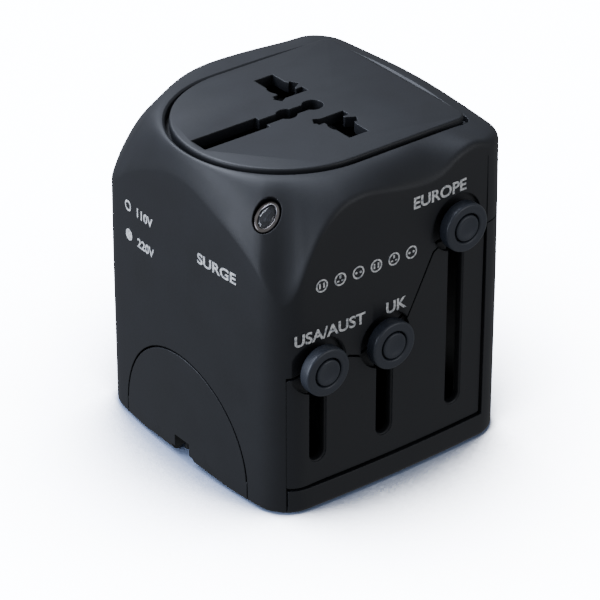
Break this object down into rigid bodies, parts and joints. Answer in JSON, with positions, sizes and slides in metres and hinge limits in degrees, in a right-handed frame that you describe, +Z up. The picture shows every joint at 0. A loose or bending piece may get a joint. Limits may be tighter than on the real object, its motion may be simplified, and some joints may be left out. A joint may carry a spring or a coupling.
{
  "type": "universal travel adapter",
  "caption": "Cube-shaped travel plug adapter with a multi-standard socket on top, sliding plug pins in the base, a fold-out earth pin and an arched base flap.",
  "frame": {"origin": "centre of the base, on the plane that it stands on", "axes": "+Z up towards the socket plate, -Y towards the face with the sliders, -X towards the face with the arched flap"},
  "size_m": [0.06, 0.0627, 0.068],
  "materials": {
    "casing_plastic": "fine moulded texture, satin",
    "knob_plastic": "smooth moulded, satin",
    "inner_plastic": "plain moulded",
    "clear_lens": "clear and polished",
    "pin_nickel": "bright nickel plate",
    "pin_brass": "drawn brass with tumbled edges",
    "contact_brass": "stamped strip",
    "screw_steel": "zinc plated",
    "board_laminate": "green solder mask",
    "varistor_coating": "dipped epoxy"
  },
  "bodies": {
    "casing": {"lower_casing": "casing_plastic", "upper_casing": "casing_plastic", "slider_panel": "casing_plastic", "socket_plate": "casing_plastic", "indicator_lens": "clear_lens", "casing_screw_1": "screw_steel", "casing_screw_2": "screw_steel", "casing_screw_3": "screw_steel", "casing_screw_4": "screw_steel", "contact_chassis": "inner_plastic", "line_socket_contact": "contact_brass", "neutral_socket_contact": "contact_brass", "line_bus_bar": "contact_brass", "neutral_bus_bar": "contact_brass", "surge_board": "board_laminate", "surge_varistor": "varistor_coating", "thermal_fuse": "pin_nickel", "indicator_led": "clear_lens", "earth_pin_axle": "screw_steel", "flap_hinge_pin_front": "screw_steel", "flap_hinge_pin_back": "screw_steel"},
    "flap": {"base_flap": "casing_plastic"},
    "earth": {"earth_pin": "casing_plastic"},
    "shutter": {"socket_shutter": "inner_plastic", "shutter_spring": "screw_steel"},
    "us_slider": {"us_knob": "knob_plastic", "us_button_spring": "screw_steel", "us_carriage": "casing_plastic"},
    "us_release": {"us_button": "knob_plastic"},
    "uk_slider": {"uk_knob": "knob_plastic", "uk_button_spring": "screw_steel", "uk_carriage": "casing_plastic", "uk_pin_front": "pin_brass", "uk_pin_sleeve_front": "casing_plastic", "uk_pin_back": "pin_brass", "uk_pin_sleeve_back": "casing_plastic"},
    "uk_release": {"uk_button": "knob_plastic"},
    "eu_slider": {"eu_knob": "knob_plastic", "eu_button_spring": "screw_steel", "eu_neck": "casing_plastic", "eu_pin_front": "pin_nickel", "eu_pin_sleeve_front": "casing_plastic", "eu_pin_back": "pin_nickel", "eu_pin_sleeve_back": "casing_plastic"},
    "eu_release": {"eu_button": "knob_plastic"},
    "us_pin_front": {"us_blade_front": "pin_nickel"},
    "us_pin_back": {"us_blade_back": "pin_nickel"}
  },
  "joints": [
    {"name": "us_slide", "type": "slide", "parent": "casing", "child": "us_slider", "axis": [0, 0, -1], "range_m": [0, 0.0193]},
    {"name": "us_button_press", "type": "slide", "parent": "us_slider", "child": "us_release", "axis": [0, 1, 0], "range_m": [0, 0.0012], "stiffness_N_per_m": 250, "springref_m": -0.001, "deforming": ["us_button_spring"]},
    {"name": "uk_slide", "type": "slide", "parent": "casing", "child": "uk_slider", "axis": [0, 0, -1], "range_m": [0, 0.0193]},
    {"name": "uk_button_press", "type": "slide", "parent": "uk_slider", "child": "uk_release", "axis": [0, 1, 0], "range_m": [0, 0.0012], "stiffness_N_per_m": 250, "springref_m": -0.001, "deforming": ["uk_button_spring"]},
    {"name": "eu_slide", "type": "slide", "parent": "casing", "child": "eu_slider", "axis": [0, 0, -1], "range_m": [0, 0.0386]},
    {"name": "eu_button_press", "type": "slide", "parent": "eu_slider", "child": "eu_release", "axis": [0, 1, 0], "range_m": [0, 0.0012], "stiffness_N_per_m": 250, "springref_m": -0.001, "deforming": ["eu_button_spring"]},
    {"name": "us_front_twist", "type": "hinge", "parent": "us_slider", "child": "us_pin_front", "pos_m": [-0.0191, -0.00635, 0.0168], "axis": [0, 0, -1], "range_deg": [0, 30]},
    {"name": "us_back_twist", "type": "hinge", "parent": "us_slider", "child": "us_pin_back", "pos_m": [-0.0191, 0.00635, 0.0168], "axis": [0, 0, 1], "range_deg": [0, 30]},
    {"name": "earth_pin_fold", "type": "hinge", "parent": "casing", "child": "earth", "pos_m": [-0.02553, 0, 0.0043], "axis": [0, 1, 0], "range_deg": [0, 90]},
    {"name": "base_flap_fold", "type": "hinge", "parent": "casing", "child": "flap", "pos_m": [-0.0276, 0, 0.0024], "axis": [0, -1, 0], "range_deg": [0, 90]},
    {"name": "shutter_slide", "type": "slide", "parent": "casing", "child": "shutter", "axis": [1, 0, 0], "range_m": [0, 0.0084], "stiffness_N_per_m": 40, "springref_m": -0.003, "deforming": ["shutter_spring"]}
  ]
}
